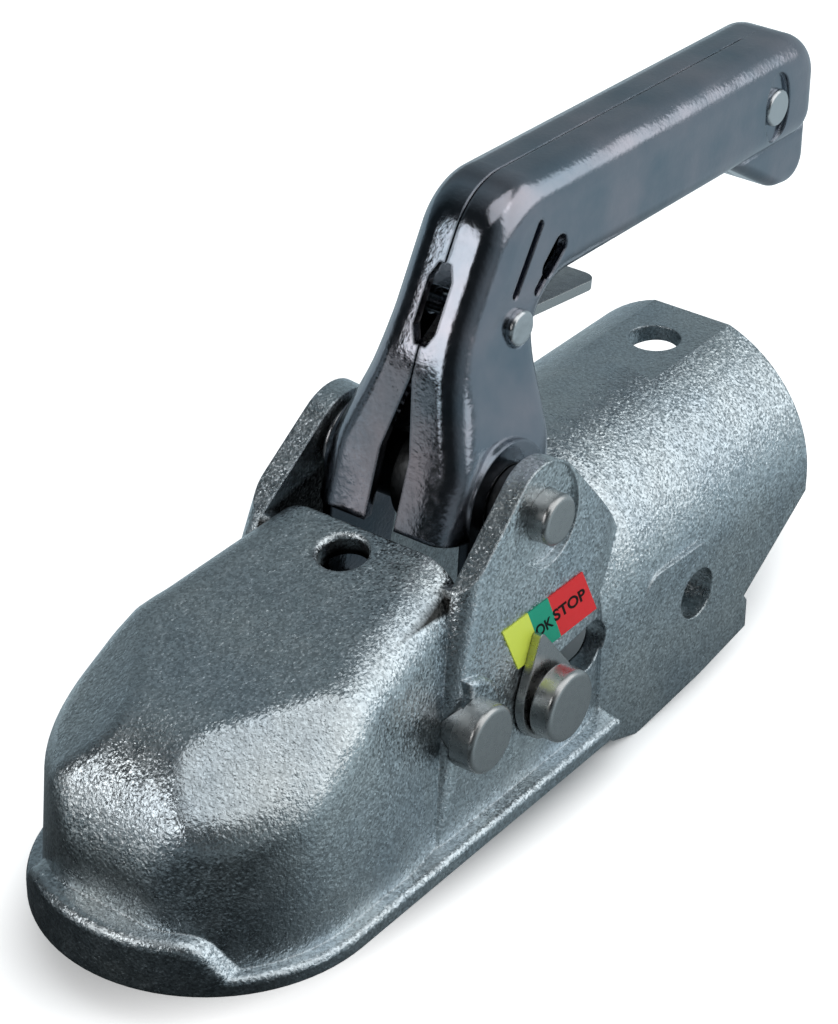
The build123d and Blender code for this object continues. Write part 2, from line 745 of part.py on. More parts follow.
# Left half of the lever: a pressed shell with a knob behind and an arm down to the slide pin
with BuildPart() as handle_left_shell:
    add(shell_outer)
    add(knob_form())
    add(shell_inner, mode=Mode.SUBTRACT)
    with BuildSketch(side_plane(base_half)):
        with BuildLine():
            CenterArc((lever_pin_x, lever_pin_z), arm_top_r, 0, 360)
            CenterArc((slide_pin_x, slide_pin_z), arm_low_r, 0, 360)
        make_hull()
    extrude(amount=shell_wall)
    with BuildSketch(Plane.XZ):
        with Locations((lever_pin_x, lever_pin_z)):
            Circle(bush_r + fit)
        with Locations(Pos(*arm_direction(fork_mid_r)) * Rot(0, 0, degrees(arm_rest))):
            SlotCenterToCenter(arm_sagitta + 2 * side_clearance, 2 * (slide_pin_r + side_clearance))
        with Locations((trigger_x, trigger_z)):
            Circle(trigger_pin_r + fit)
        with Locations((rivet_x, rivet_z)):
            Circle(rivet_r + fit)
    extrude(amount=-far, mode=Mode.SUBTRACT)
    with BuildSketch(side_plane(grip_half)):
        with Locations((rivet_x, rivet_z)):
            Ellipse(*rivet_bed_half)
    extrude(amount=rivet_bed_depth, mode=Mode.SUBTRACT)
    with BuildSketch(side_plane(grip_half)):
        with Locations((trigger_x, trigger_z)):
            Circle(trigger_head_r + side_clearance)
    extrude(amount=-sheet, mode=Mode.SUBTRACT)
    with BuildSketch(side_plane(grip_half)):
        SlotCenterPoint(*slot_mid_and_end(*side_slot_ends), side_slot_width)
        SlotCenterPoint(*slot_mid_and_end(*keyhole_ends[:2]), keyhole_widths[0])
        SlotCenterPoint(*slot_mid_and_end(*keyhole_ends[1:]), keyhole_widths[1])
    extrude(amount=2 * shell_wall, mode=Mode.SUBTRACT)
    with BuildSketch(Plane.YZ.offset(neck_front[0] - shell_edge_r)):
        Polygon((0, base_low_z), (front_gap_half, base_low_z), (front_gap_half, front_gap_z),
                (seam_gap / 2, front_gap_apex_z), (0, front_gap_apex_z), align=None)
    extrude(amount=far, mode=Mode.SUBTRACT)
    with BuildSketch(Plane.YZ.offset(grip_corner_x)):
        Polygon((0, front_window_low_z), (front_window_half / 2, front_window_low_z),
                (front_window_half, front_window_low_z + front_window_half),
                (front_window_half, front_window_top_z - front_window_half),
                (front_window_half / 2, front_window_top_z), (0, front_window_top_z), align=None)
    extrude(amount=far, mode=Mode.SUBTRACT)
    with BuildSketch(Plane.YZ.offset(trigger_x)):
        Polygon((0, tongue_window[0]), (tongue_half + side_clearance, tongue_window[0]),
                (tongue_half + side_clearance, tongue_window[1]), (0, tongue_window[1]), align=None)
    extrude(amount=tongue_rear_x - trigger_x, mode=Mode.SUBTRACT)
    with BuildSketch(Plane.XZ):
        Rectangle(far, far)
    extrude(amount=-seam_gap / 2, mode=Mode.SUBTRACT)
handle_left_shell.part.label = "handle_left_shell"
export_step(handle_left_shell.part, "parts/handle_left_shell.step")

# Right half of the lever: the left half mirrored
with BuildPart() as handle_right_shell:
    add(handle_left_shell.part.mirror(Plane.XZ))
handle_right_shell.part.label = "handle_right_shell"
export_step(handle_right_shell.part, "parts/handle_right_shell.step")


def headed_profile(shank_r, seat_y, head_r, head_thick):
    """Half profile of a rivet with a round-edged head at each end."""
    FilletPolyline((-seat_y - head_thick, 0), (-seat_y - head_thick, head_r), (-seat_y, head_r),
                   (-seat_y, shank_r), (seat_y, shank_r), (seat_y, head_r),
                   (seat_y + head_thick, head_r), (seat_y + head_thick, 0),
                   radius=(head_thick / 2, 0, 0, 0, 0, head_thick / 2))
    Line((seat_y + head_thick, 0), (-seat_y - head_thick, 0))


# Rivet that joins the halves at the end of the grip
with BuildPart() as handle_rear_rivet:
    with BuildSketch(turned_plane(rivet_x, rivet_z)):
        with BuildLine():
            headed_profile(rivet_r, grip_half - rivet_bed_depth, rivet_head_r, rivet_head_thick)
        make_face()
    revolve(axis=turned_axis(rivet_x, rivet_z))
handle_rear_rivet.part.label = "handle_rear_rivet"
export_step(handle_rear_rivet.part, "parts/handle_rear_rivet.step")

# Pin through both halves on which the trigger turns
with BuildPart() as trigger_pin:
    with BuildSketch(turned_plane(trigger_x, trigger_z)):
        with BuildLine():
            headed_profile(trigger_pin_r, grip_half, trigger_head_r, trigger_head_thick)
        make_face()
    revolve(axis=turned_axis(trigger_x, trigger_z))
trigger_pin.part.label = "trigger_pin"
export_step(trigger_pin.part, "parts/trigger_pin.step")

# Trigger: a web on the pin with a nose below, a lug over the spring and a finger tongue behind
with BuildPart() as trigger:
    with BuildSketch(Plane.XZ):
        with BuildLine():
            CenterArc((trigger_x, trigger_z), trigger_arm_r, 0, 360)
            CenterArc(trigger_nose, trigger_nose_r, 0, 360)
        make_hull()
        with Locations((trigger_x, trigger_z)):
            Circle(trigger_hub_r)
        Polygon((trigger_x, trigger_z + trigger_hub_r), (trigger_lug_x, trigger_lug_z + trigger_lug_thick),
                (trigger_lug_x, trigger_lug_z), (trigger_x, trigger_lug_z), align=None)
    extrude(amount=trigger_web / 2, both=True)
    with BuildSketch(tongue_plane):
        with BuildLine():
            FilletPolyline((0, -tongue_half), (tongue_length, -tongue_half),
                           (tongue_length, tongue_half), (0, tongue_half), radius=tongue_corner_r)
            Line((0, tongue_half), (0, -tongue_half))
        make_face()
    extrude(amount=tongue_thick)
    with BuildSketch(Plane.XZ):
        with Locations((trigger_x, trigger_z)):
            Circle(trigger_pin_r + running_clearance)
    extrude(amount=trigger_web, both=True, mode=Mode.SUBTRACT)
trigger.part.label = "trigger"
export_step(trigger.part, "parts/trigger.step")

# Seat: cross piece between the halves that carries the trigger spring
with BuildPart() as spring_seat:
    with BuildSketch(Plane.XY.offset(seat_top_z - seat_thick)):
        Polygon((seat_front_x, -seat_half), (seat_front_x, seat_half), (seat_rear_x, seat_half),
                (seat_rear_x, -seat_half), align=None)
    extrude(amount=seat_thick)
spring_seat.part.label = "spring_seat"
export_step(spring_seat.part, "parts/spring_seat.step")

# Trigger spring: open coil between the seat and the trigger's lug
with BuildPart() as trigger_spring:
    with BuildLine():
        coil = Helix(spring_pitch, spring_pitch * spring_turns, spring_mean_r,
                     center=(spring_x, 0, seat_top_z + spring_wire_r))
    with BuildSketch(Plane(origin=coil @ 0, z_dir=coil % 0)):
        Circle(spring_wire_r)
    sweep(path=coil, is_frenet=True)
trigger_spring.part.label = "trigger_spring"
export_step(trigger_spring.part, "parts/trigger_spring.step")


def sleeve_sketch(x, z, inner_r, outer_r):
    """Ring about a pivot, for a sleeve to be drawn out along the pin."""
    with Locations((x, z)):
        Circle(outer_r)
        Circle(inner_r, mode=Mode.SUBTRACT)


# Bushes of the lever on its pin, one in each half
with BuildPart() as pivot_bush_left:
    with BuildSketch(side_plane(base_half)):
        sleeve_sketch(lever_pin_x, lever_pin_z, lever_pin_r + running_clearance, bush_r)
    extrude(amount=base_half - catch_half - side_clearance)
pivot_bush_left.part.label = "pivot_bush_left"
export_step(pivot_bush_left.part, "parts/pivot_bush_left.step")

with BuildPart() as pivot_bush_right:
    add(pivot_bush_left.part.mirror(Plane.XZ))
pivot_bush_right.part.label = "pivot_bush_right"
export_step(pivot_bush_right.part, "parts/pivot_bush_right.step")

# Spacers on the lever pin, between the lever and the ears
with BuildPart() as pivot_spacer_left:
    with BuildSketch(side_plane(ear_inner_y - fit)):
        sleeve_sketch(lever_pin_x, lever_pin_z, lever_pin_r + fit, sleeve_r)
    extrude(amount=ear_inner_y - fit - lever_sleeve_y)
pivot_spacer_left.part.label = "pivot_spacer_left"
export_step(pivot_spacer_left.part, "parts/pivot_spacer_left.step")

with BuildPart() as pivot_spacer_right:
    add(pivot_spacer_left.part.mirror(Plane.XZ))
pivot_spacer_right.part.label = "pivot_spacer_right"
export_step(pivot_spacer_right.part, "parts/pivot_spacer_right.step")

# Catch plate on the middle of the lever pin, notched where the trigger's nose faces it
with BuildPart() as catch_plate:
    with BuildSketch(Plane.XZ):
        sleeve_sketch(lever_pin_x, lever_pin_z, lever_pin_r + fit, catch_r)
        with Locations(catch_notch):
            Circle(catch_notch_r, mode=Mode.SUBTRACT)
    extrude(amount=catch_half, both=True)
catch_plate.part.label = "catch_plate"
export_step(catch_plate.part, "parts/catch_plate.step")

# Lever return spring: wound round the right-hand spacer
with BuildPart() as lever_return_spring:
    with BuildLine():
        coil = Helix(wound_pitch, wound_pitch * wound_turns, sleeve_r + fit + wound_wire_r,
                     center=(lever_pin_x, side_clearance + wound_wire_r - ear_inner_y, lever_pin_z),
                     direction=(0, 1, 0))
    with BuildSketch(Plane(origin=coil @ 0, z_dir=coil % 0)):
        Circle(wound_wire_r)
    sweep(path=coil, is_frenet=True)
lever_return_spring.part.label = "lever_return_spring"
export_step(lever_return_spring.part, "parts/lever_return_spring.step")

# Closing jaw: hub on its pin, shoe hollowed to the ball, tail for the locking block
with BuildPart() as closing_jaw:
    with BuildSketch(Plane.XZ):
        with BuildLine():
            CenterArc((jaw_pin_x, jaw_pin_z), jaw_hub_r, 0, 360)
            Line(jaw_toe, jaw_heel)
        make_hull()
    extrude(amount=jaw_half, both=True)
    with BuildSketch(Plane.XZ):
        Polygon((jaw_pin_x, jaw_tail_top_z), (jaw_tail_x, jaw_tail_top_z), (jaw_tail_x, jaw_tail_low_z),
                (jaw_pin_x, jaw_tail_low_z), align=None)
    extrude(amount=jaw_tail_half, both=True)
    Sphere(pocket_half, mode=Mode.SUBTRACT)
    with BuildSketch(Plane.XZ):
        with Locations((jaw_pin_x, jaw_pin_z)):
            Circle(jaw_pin_r + running_clearance)
    extrude(amount=2 * jaw_half, both=True, mode=Mode.SUBTRACT)
closing_jaw.part.label = "closing_jaw"
export_step(closing_jaw.part, "parts/closing_jaw.step")

# Spacers that centre the jaw between the walls
with BuildPart() as jaw_spacer_left:
    with BuildSketch(side_plane(pocket_side_y - fit)):
        sleeve_sketch(jaw_pin_x, jaw_pin_z, jaw_pin_r + fit, sleeve_r)
    extrude(amount=pocket_side_y - fit - jaw_sleeve_y)
jaw_spacer_left.part.label = "jaw_spacer_left"
export_step(jaw_spacer_left.part, "parts/jaw_spacer_left.step")

with BuildPart() as jaw_spacer_right:
    add(jaw_spacer_left.part.mirror(Plane.XZ))
jaw_spacer_right.part.label = "jaw_spacer_right"
export_step(jaw_spacer_right.part, "parts/jaw_spacer_right.step")

# Jaw spring: wound round the right-hand jaw spacer
with BuildPart() as jaw_spring:
    with BuildLine():
        coil = Helix(wound_pitch, wound_pitch * wound_turns, sleeve_r + fit + wound_wire_r,
                     center=(jaw_pin_x, side_clearance + wound_wire_r - pocket_side_y, jaw_pin_z),
                     direction=(0, 1, 0))
    with BuildSketch(Plane(origin=coil @ 0, z_dir=coil % 0)):
        Circle(wound_wire_r)
    sweep(path=coil, is_frenet=True)
jaw_spring.part.label = "jaw_spring"
export_step(jaw_spring.part, "parts/jaw_spring.step")

# Locking block: sits on the slide pin and holds the jaw's tail down from above
with BuildPart() as locking_block:
    with BuildSketch(Plane.XZ):
        with Locations((slide_pin_x, slide_pin_z)):
            Circle(block_hub_r)
        Polygon((slide_pin_x - slide_pin_r, block_low_z), (block_nose_x, block_low_z),
                (block_nose_x, block_top_z), (slide_pin_x - slide_pin_r, block_top_z), align=None)
        with Locations((slide_pin_x, slide_pin_z)):
            Circle(slide_pin_r + fit, mode=Mode.SUBTRACT)
    extrude(amount=block_half, both=True)
locking_block.part.label = "locking_block"
export_step(locking_block.part, "parts/locking_block.step")
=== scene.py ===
# %% [markdown]
# A trailer coupling head is a forged zinc-plated housing that drops over a tow ball, with a pressed lever
# on top that draws a locking block back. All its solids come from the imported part, in metres, with X to
# the nose, Y to the indicator side and Z up. This file dresses those solids and lights them.

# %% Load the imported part
import math
from functools import partial

import bpy
from mathutils import Matrix, Vector


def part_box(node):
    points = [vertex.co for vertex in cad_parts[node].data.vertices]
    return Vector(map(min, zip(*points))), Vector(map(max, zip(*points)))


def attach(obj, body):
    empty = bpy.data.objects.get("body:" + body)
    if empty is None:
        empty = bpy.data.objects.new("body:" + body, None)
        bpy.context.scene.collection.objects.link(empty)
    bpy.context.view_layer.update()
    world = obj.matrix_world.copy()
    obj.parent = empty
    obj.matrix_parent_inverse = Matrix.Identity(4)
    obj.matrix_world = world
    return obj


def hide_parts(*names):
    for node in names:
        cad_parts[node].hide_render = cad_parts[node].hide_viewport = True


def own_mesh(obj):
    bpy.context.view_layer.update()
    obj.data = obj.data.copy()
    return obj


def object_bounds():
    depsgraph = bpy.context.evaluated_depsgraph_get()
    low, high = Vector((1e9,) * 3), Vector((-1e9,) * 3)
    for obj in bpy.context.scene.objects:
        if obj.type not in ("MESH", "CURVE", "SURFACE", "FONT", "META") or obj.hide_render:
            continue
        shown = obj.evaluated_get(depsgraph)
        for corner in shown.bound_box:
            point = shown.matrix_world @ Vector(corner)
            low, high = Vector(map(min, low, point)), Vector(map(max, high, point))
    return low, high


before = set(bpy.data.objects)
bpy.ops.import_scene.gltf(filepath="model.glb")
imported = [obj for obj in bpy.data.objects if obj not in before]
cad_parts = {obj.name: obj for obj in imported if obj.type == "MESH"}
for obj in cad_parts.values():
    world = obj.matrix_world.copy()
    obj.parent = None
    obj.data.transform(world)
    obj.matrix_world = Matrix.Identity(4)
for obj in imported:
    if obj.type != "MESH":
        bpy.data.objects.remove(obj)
cad_box = [[float(value) for value in corner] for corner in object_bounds()]
MM = 0.001
scene = bpy.context.scene

# %% [markdown]
# The camera stands where the photograph was taken from: high in front, on the indicator side. A long lens
# keeps the perspective gentle. It could be set by eye, but its place and turn were fitted to the part's
# outline, which is surer. The frame is 838 by 1024 pixels, so the sensor's 36 mm lie along the tall side.

# %% Camera
CAMERA_PLACE = (0.39314, 0.34663, 0.39499)
CAMERA_TURN = (58.4674, -0.3542, 126.8644)
LENS_LENGTH = 107.915
SENSOR_SIDE = 36


def placed(name, data):
    made = bpy.data.objects.new(name, data)
    scene.collection.objects.link(made)
    return made


camera_data = bpy.data.cameras.new("camera")
camera_data.sensor_width = SENSOR_SIDE
camera_data.lens = LENS_LENGTH
camera_data.clip_start = 0.01
camera_data.clip_end = 60
camera = placed("camera", camera_data)
camera.location = CAMERA_PLACE
camera.rotation_euler = [math.radians(angle) for angle in CAMERA_TURN]
scene.camera = camera
print("camera:", [round(value, 3) for value in camera.location])

# %% [markdown]
# Every finish here is a metal or a film, and each needs the same few nodes again and again. They could be
# wired one by one each time, but small helpers keep the finishes short: one starts a finish, one makes a
# node, and one feeds a socket with a number, a colour or another node's result.


# %% A finish and its nodes
def finish(name, colour, metallic, roughness):
    material = bpy.data.materials.new(name)
    material.use_nodes = True
    shader = material.node_tree.nodes["Principled BSDF"]
    shader.inputs["Base Color"].default_value = (*colour, 1)
    shader.inputs["Metallic"].default_value = metallic
    shader.inputs["Roughness"].default_value = roughness
    return material, shader


def node(material, kind, settings=None, **values):
    made = material.node_tree.nodes.new(kind)
    for key, value in (settings or {}).items():
        setattr(made, key, value)
    for key, value in values.items():
        made.inputs[key.replace("_", " ")].default_value = value
    return made


def feed(material, value, socket):
    if isinstance(value, bpy.types.NodeSocket):
        material.node_tree.links.new(value, socket)
    elif isinstance(value, tuple):
        socket.default_value = (*value, 1)
    else:
        socket.default_value = value


print("finish helpers ready")

# %% [markdown]
# Blasted, pressed and turned skins are all uneven, and noise stands for that. It could follow an unwrapped
# map, but the solids have none. It is read in the piece's own coordinates instead, so that the pattern
# stays with the piece when it moves. Its values lie mostly between 0.3 and 0.7, and are spread from there.
# Further on, a noise is written as its count per metre, its detail and, where it is drawn out, a stretch.

# %% Place, noise and shades
NOISE_LOW, NOISE_HIGH = 0.3, 0.7
TINT_LOW, TINT_HIGH = 0.32, 0.68


def piece_place(material):
    return node(material, "ShaderNodeTexCoord").outputs["Object"]


def piece_axes(material):
    split = node(material, "ShaderNodeSeparateXYZ")
    feed(material, piece_place(material), split.inputs[0])
    return split.outputs


def noise(material, per_metre, detail, stretch=(1, 1, 1)):
    stretched = node(material, "ShaderNodeMapping", Scale=stretch)
    feed(material, piece_place(material), stretched.inputs["Vector"])
    made = node(material, "ShaderNodeTexNoise", Scale=per_metre, Detail=detail)
    feed(material, stretched.outputs["Vector"], made.inputs["Vector"])
    return made.outputs["Fac"]


def between(material, source, low, high, from_low=NOISE_LOW, from_high=NOISE_HIGH):
    made = node(material, "ShaderNodeMapRange", From_Min=from_low, From_Max=from_high, To_Min=low, To_Max=high)
    feed(material, source, made.inputs["Value"])
    return made.outputs["Result"]


def tint(material, source, low, high):
    ramp = node(material, "ShaderNodeValToRGB")
    for stop, place, colour in zip(ramp.color_ramp.elements, (TINT_LOW, TINT_HIGH), (low, high)):
        stop.position = place
        stop.color = (*colour, 1)
    feed(material, source, ramp.inputs["Fac"])
    return ramp.outputs["Color"]


print("noise is spread from", NOISE_LOW, "to", NOISE_HIGH)

# %% [markdown]
# No edge of a forging or a pressing is quite sharp, and no skin quite flat. Both could be cut into the mesh,
# but the solids stay as they came. A Bevel node rounds edges for the light alone, and a Bump node adds dents.

# %% Soft edges and dents
EDGE_SAMPLES = 4


def soft_edges(material, radius):
    return node(material, "ShaderNodeBevel", {"samples": EDGE_SAMPLES}, Radius=radius).outputs["Normal"]


def bump(material, height, depth, normal=None):
    made = node(material, "ShaderNodeBump", Distance=depth, Strength=1.0)
    feed(material, height, made.inputs["Height"])
    if normal is not None:
        feed(material, normal, made.inputs["Normal"])
    return made.outputs["Normal"]


print("edges are rounded with", EDGE_SAMPLES, "samples")

# %% [markdown]
# Some finishes change with the place on the piece. Painting that by hand would need a map, so it is worked
# out from the piece's coordinates: one helper does a sum, and one lays a colour over another.


# %% Sums and mixed colours
def reckon(material, operation, *values):
    made = node(material, "ShaderNodeMath", {"operation": operation})
    for socket, value in zip(made.inputs, values):
        feed(material, value, socket)
    return made.outputs[0]


def mixed(material, share, under, over, way="MIX"):
    made = node(material, "ShaderNodeMix", {"data_type": "RGBA", "blend_type": way})
    share_socket, under_socket, over_socket = made.inputs[0], made.inputs[6], made.inputs[7]
    feed(material, share, share_socket)
    feed(material, under, under_socket)
    feed(material, over, over_socket)
    return made.outputs[2]


print("sums and mixed colours ready")

# %% [markdown]
# Inside the housing, where the slide and the jaw run, the skin is darkened nearly to black as painted shade,
# since little light reaches that cavity under the lever. It could be a second material on picked faces, but
# the solid's mesh is not changed. So that place is told from the outside by flat limits on the piece's own
# coordinates: the leaning walls, the sloped plateau and the two ends. Each limit has a slope in X, in Y away
# from the middle and in Z, and the heights where it starts and ends.

# %% Painted shade inside
WALL_LIMIT = ((0, -1, -0.0875), -29.9 * MM, -29.5 * MM)
PLATEAU_LIMIT = ((-0.178, 0, -1), -31.5 * MM, -29.5 * MM)
FRONT_LIMIT = ((-1, 0, 0), 12 * MM, 20 * MM)
REAR_LIMIT = ((1, 0, 0), -99 * MM, -97 * MM)
INSIDE_LIMITS = (WALL_LIMIT, PLATEAU_LIMIT, FRONT_LIMIT, REAR_LIMIT)


def side_of(material, slope, low, high):
    axes = piece_axes(material)
    mirrored = node(material, "ShaderNodeCombineXYZ")
    feed(material, axes["X"], mirrored.inputs["X"])
    feed(material, reckon(material, "ABSOLUTE", axes["Y"]), mirrored.inputs["Y"])
    feed(material, axes["Z"], mirrored.inputs["Z"])
    height = node(material, "ShaderNodeVectorMath", {"operation": "DOT_PRODUCT"})
    height.inputs[1].default_value = slope
    feed(material, mirrored.outputs["Vector"], height.inputs[0])
    return between(material, height.outputs["Value"], 0.0, 1.0, low, high)


# painted shade: this mask marks the cavity faces that are darkened to near black
def painted_shade(material):
    inside = 1.0
    for slope, low, high in INSIDE_LIMITS:
        inside = reckon(material, "MULTIPLY", inside, side_of(material, slope, low, high))
    return inside


print("the greased inside has", len(INSIDE_LIMITS), "limits")

# %% [markdown]
# The housing is forged, shot-blasted and zinc-plated. Blasting leaves grains of about half a millimetre
# that catch the light on their own. They are far too many to model, and a noise bump alone looks like the
# skin of an orange. So the bump rounds the larger ones, and a pattern of cells leans the normal of each
# small one a little and shades it.


# %% Grains
def grains(material, per_metre, lean, normal):
    cells = node(material, "ShaderNodeTexVoronoi", Scale=per_metre)
    feed(material, piece_place(material), cells.inputs["Vector"])
    shade = node(material, "ShaderNodeSeparateColor")
    feed(material, cells.outputs["Color"], shade.inputs[0])
    centred = node(material, "ShaderNodeVectorMath", {"operation": "SUBTRACT"})
    centred.inputs[1].default_value = (0.5, 0.5, 0.5)
    feed(material, cells.outputs["Color"], centred.inputs[0])
    scaled = node(material, "ShaderNodeVectorMath", {"operation": "SCALE"}, Scale=lean)
    feed(material, centred.outputs["Vector"], scaled.inputs[0])
    leaning = node(material, "ShaderNodeVectorMath", {"operation": "ADD"})
    feed(material, scaled.outputs["Vector"], leaning.inputs[0])
    feed(material, normal, leaning.inputs[1])
    unit = node(material, "ShaderNodeVectorMath", {"operation": "NORMALIZE"})
    feed(material, leaning.outputs["Vector"], unit.inputs[0])
    return unit.outputs["Vector"], shade.outputs[0]


GRAINS_PER_METRE = 2000
GRAIN_LEAN = 0.21
DARK_GRAIN, BRIGHT_GRAIN = 0.66, 1.24
print("grain size", round(1 / GRAINS_PER_METRE / MM, 2), "mm")

# %% [markdown]
# Zinc on a forging is never one grey. A coarse noise moves the tint between blue-grey and warm grey, the
# grains multiply it, and painted shade darkens it inside the cavity. The gloss varies too, on a finer noise.

# %% Forged zinc
ROUND_GRAINS = (1300, 2)
ROUND_GRAIN_DEPTH = 0.2 * MM
FORGED_EDGE = 0.7 * MM
ZINC_PATCHES = (45, 3)
BLUE_GREY = (0.51, 0.57, 0.61)
WARM_GREY = (0.63, 0.67, 0.68)
# painted shade: the near-black colour for the cavity's inner faces
CAVITY_SHADE = (0.035, 0.035, 0.034)
GLOSS_PATCHES = (260, 3)
FORGED_ROUGH = (0.24, 0.36)

forged_zinc, shader = finish("forged_zinc", (0.55, 0.61, 0.64), 1.0, 0.25)
edges = soft_edges(forged_zinc, FORGED_EDGE)
rounded = bump(forged_zinc, noise(forged_zinc, *ROUND_GRAINS), ROUND_GRAIN_DEPTH, edges)
leaning, grain_shade = grains(forged_zinc, GRAINS_PER_METRE, GRAIN_LEAN, rounded)
feed(forged_zinc, leaning, shader.inputs["Normal"])
plated = tint(forged_zinc, noise(forged_zinc, *ZINC_PATCHES), BLUE_GREY, WARM_GREY)
grain_level = between(forged_zinc, grain_shade, DARK_GRAIN, BRIGHT_GRAIN, 0.0, 1.0)
speckled = mixed(forged_zinc, 1.0, plated, grain_level, "MULTIPLY")
# painted shade: the cavity inside is mixed towards near black
coloured = mixed(forged_zinc, painted_shade(forged_zinc), speckled, CAVITY_SHADE)
feed(forged_zinc, coloured, shader.inputs["Base Color"])
gloss = between(forged_zinc, noise(forged_zinc, *GLOSS_PATCHES), *FORGED_ROUGH)
feed(forged_zinc, gloss, shader.inputs["Roughness"])
print(forged_zinc.name, "has", len(forged_zinc.node_tree.nodes), "nodes")

# %% [markdown]
# The lever's halves are pressed from sheet and plated bright. The sheet keeps faint draw marks along the
# grip and gentle waves where it was bent, so reflections run in streaks. Pressing also leaves it slightly
# crowned across, which widens the reflections. All of that hardly moves the surface but bends what it
# mirrors, so bumps are enough. The plating is passivated, which gives a slight violet and blue cast.

# %% Pressed zinc
CAST_PATCHES = (55, 6)
BLUE_CAST = (0.21, 0.255, 0.30)
VIOLET_CAST = (0.35, 0.335, 0.37)
DRAW_MARKS = (500, 3, (0.12, 1, 1))
PRESSED_ROUGH = (0.08, 0.19)
PRESSED_EDGE = 0.9 * MM
CROWN = -7.0
WAVES, WAVE_DEPTH = (70, 1, (1, 1, 0.5)), 0.3 * MM
SKIN, SKIN_DEPTH = (900, 2), 0.04 * MM

pressed_zinc, shader = finish("pressed_zinc", (0.28, 0.295, 0.335), 1.0, 0.14)
cast = tint(pressed_zinc, noise(pressed_zinc, *CAST_PATCHES), BLUE_CAST, VIOLET_CAST)
feed(pressed_zinc, cast, shader.inputs["Base Color"])
streaks = between(pressed_zinc, noise(pressed_zinc, *DRAW_MARKS), *PRESSED_ROUGH)
feed(pressed_zinc, streaks, shader.inputs["Roughness"])
across = piece_axes(pressed_zinc)["Y"]
crown = reckon(pressed_zinc, "MULTIPLY", across, across)
crowned = bump(pressed_zinc, crown, CROWN, soft_edges(pressed_zinc, PRESSED_EDGE))
waves = bump(pressed_zinc, noise(pressed_zinc, *WAVES), WAVE_DEPTH, crowned)
skin = bump(pressed_zinc, noise(pressed_zinc, *SKIN), SKIN_DEPTH, waves)
feed(pressed_zinc, skin, shader.inputs["Normal"])
print(pressed_zinc.name, "has", len(pressed_zinc.node_tree.nodes), "nodes")

# %% [markdown]
# Pins are turned and riveted, so their heads are smooth and slightly warm. The two rivets through the lever
# are brighter and more dented. The pieces inside are darker, phosphated steel, and the springs are drawn
# wire. They could be four graphs, but these steels differ in numbers only, so one function makes them all:
# patches of gloss, the roughness they run between, and dents per metre with their depth.


# %% Turned, inner and spring steel
def steel(name, colour, roughness, patches, rough, dents=None, edge=None):
    made, shader = finish(name, colour, 1.0, roughness)
    feed(made, between(made, noise(made, *patches), *rough), shader.inputs["Roughness"])
    if dents:
        per_metre, depth = dents
        dented = bump(made, noise(made, per_metre, 2), depth, soft_edges(made, edge))
        feed(made, dented, shader.inputs["Normal"])
    print(name, "roughness", rough)
    return made


turned_steel = steel("turned_steel", (0.46, 0.46, 0.455), 0.28, patches=(700, 3), rough=(0.22, 0.36),
                     dents=(350, 0.05 * MM), edge=0.4 * MM)
inner_steel = steel("inner_steel", (0.055, 0.057, 0.059), 0.42, patches=(420, 3), rough=(0.34, 0.52),
                    dents=(800, 0.1 * MM), edge=0.4 * MM)
bright_rivet = steel("bright_rivet", (0.60, 0.61, 0.62), 0.18, patches=(600, 3), rough=(0.12, 0.24),
                     dents=(220, 0.18 * MM), edge=0.6 * MM)
spring_steel = steel("spring_steel", (0.33, 0.33, 0.34), 0.28, patches=(900, 2), rough=(0.2, 0.38))

# %% [markdown]
# The indicator label is printed film on the near wall: yellow in front, green in the middle and red behind.
# It could be three strips of mesh, but the film is one solid and its print has no thickness. The field
# borders lean, so the material shears its place in X by its height before it picks a field.

# %% Printed film
LABEL_TOP = 27.0 * MM
LABEL_LEAN = 0.36
GREEN_FROM = -76.4 * MM
YELLOW_FROM = -68.8 * MM
FIELD_RED = (0.60, 0.012, 0.016)
FIELD_GREEN = (0.0, 0.28, 0.17)
FIELD_YELLOW = (0.58, 0.68, 0.08)
FILM_SKIN, FILM_DEPTH = (600, 2), 0.03 * MM

printed_film, shader = finish("printed_film", (0.8, 0.2, 0.2), 0.0, 0.4)
shader.inputs["Specular IOR Level"].default_value = 0.25
film_axes = piece_axes(printed_film)
drop = reckon(printed_film, "SUBTRACT", LABEL_TOP, film_axes["Z"])
along = reckon(printed_film, "MULTIPLY_ADD", drop, LABEL_LEAN, film_axes["X"])
past_red = reckon(printed_film, "GREATER_THAN", along, GREEN_FROM)
past_green = reckon(printed_film, "GREATER_THAN", along, YELLOW_FROM)
red_green = mixed(printed_film, past_red, FIELD_RED, FIELD_GREEN)
fields = mixed(printed_film, past_green, red_green, FIELD_YELLOW)
feed(printed_film, fields, shader.inputs["Base Color"])
film_skin = bump(printed_film, noise(printed_film, *FILM_SKIN), FILM_DEPTH)
feed(printed_film, film_skin, shader.inputs["Normal"])

black_ink, shader = finish("black_ink", (0.006, 0.007, 0.006), 0.0, 0.5)
shader.inputs["Specular IOR Level"].default_value = 0.1
print(printed_film.name, black_ink.name)

# %% [markdown]
# The solids have the real shapes already, so most of them need no more than their finish. It could be a copy
# of each solid in a new material, but filling the solid's own slot is simpler and leaves its mesh alone.

